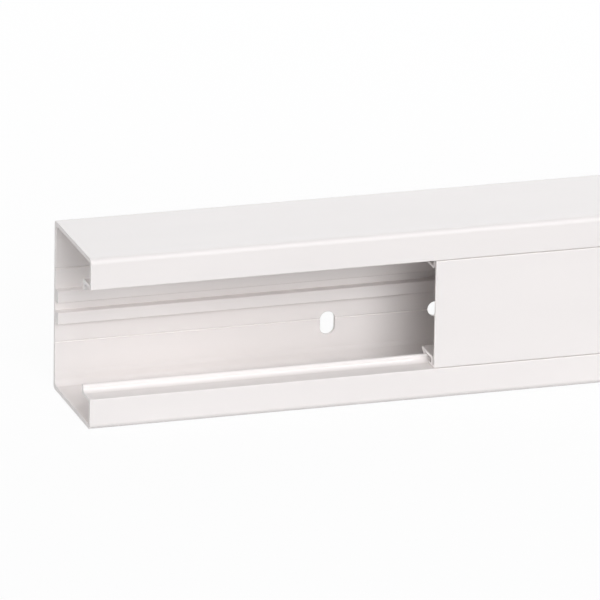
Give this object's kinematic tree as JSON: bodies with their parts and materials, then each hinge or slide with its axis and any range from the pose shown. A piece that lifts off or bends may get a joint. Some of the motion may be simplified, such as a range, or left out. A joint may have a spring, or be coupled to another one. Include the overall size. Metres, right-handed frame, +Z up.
{
  "type": "cable trunking",
  "caption": "Extruded plastic cable trunking: a C-section base with lips, legs, a rail and slotted back, and a flat lid that clips over the legs and slides along.",
  "frame": {"origin": "centre of the lower side wall's outer face, which the trunking stands on", "axes": "+X along the length, away from the open end; +Y from the open front to the back; +Z up"},
  "size_m": [2.151, 0.055, 0.075],
  "materials": {
    "base_plastic": "satin extruded white plastic",
    "lid_plastic": "satin extruded white plastic"
  },
  "bodies": {
    "base": {"base": "base_plastic"},
    "lid": {"lid": "lid_plastic"}
  },
  "joints": [
    {"name": "lid_slide", "type": "slide", "parent": "base", "child": "lid", "axis": [1, 0, 0], "range_m": [-0.151, 0.849]}
  ]
}
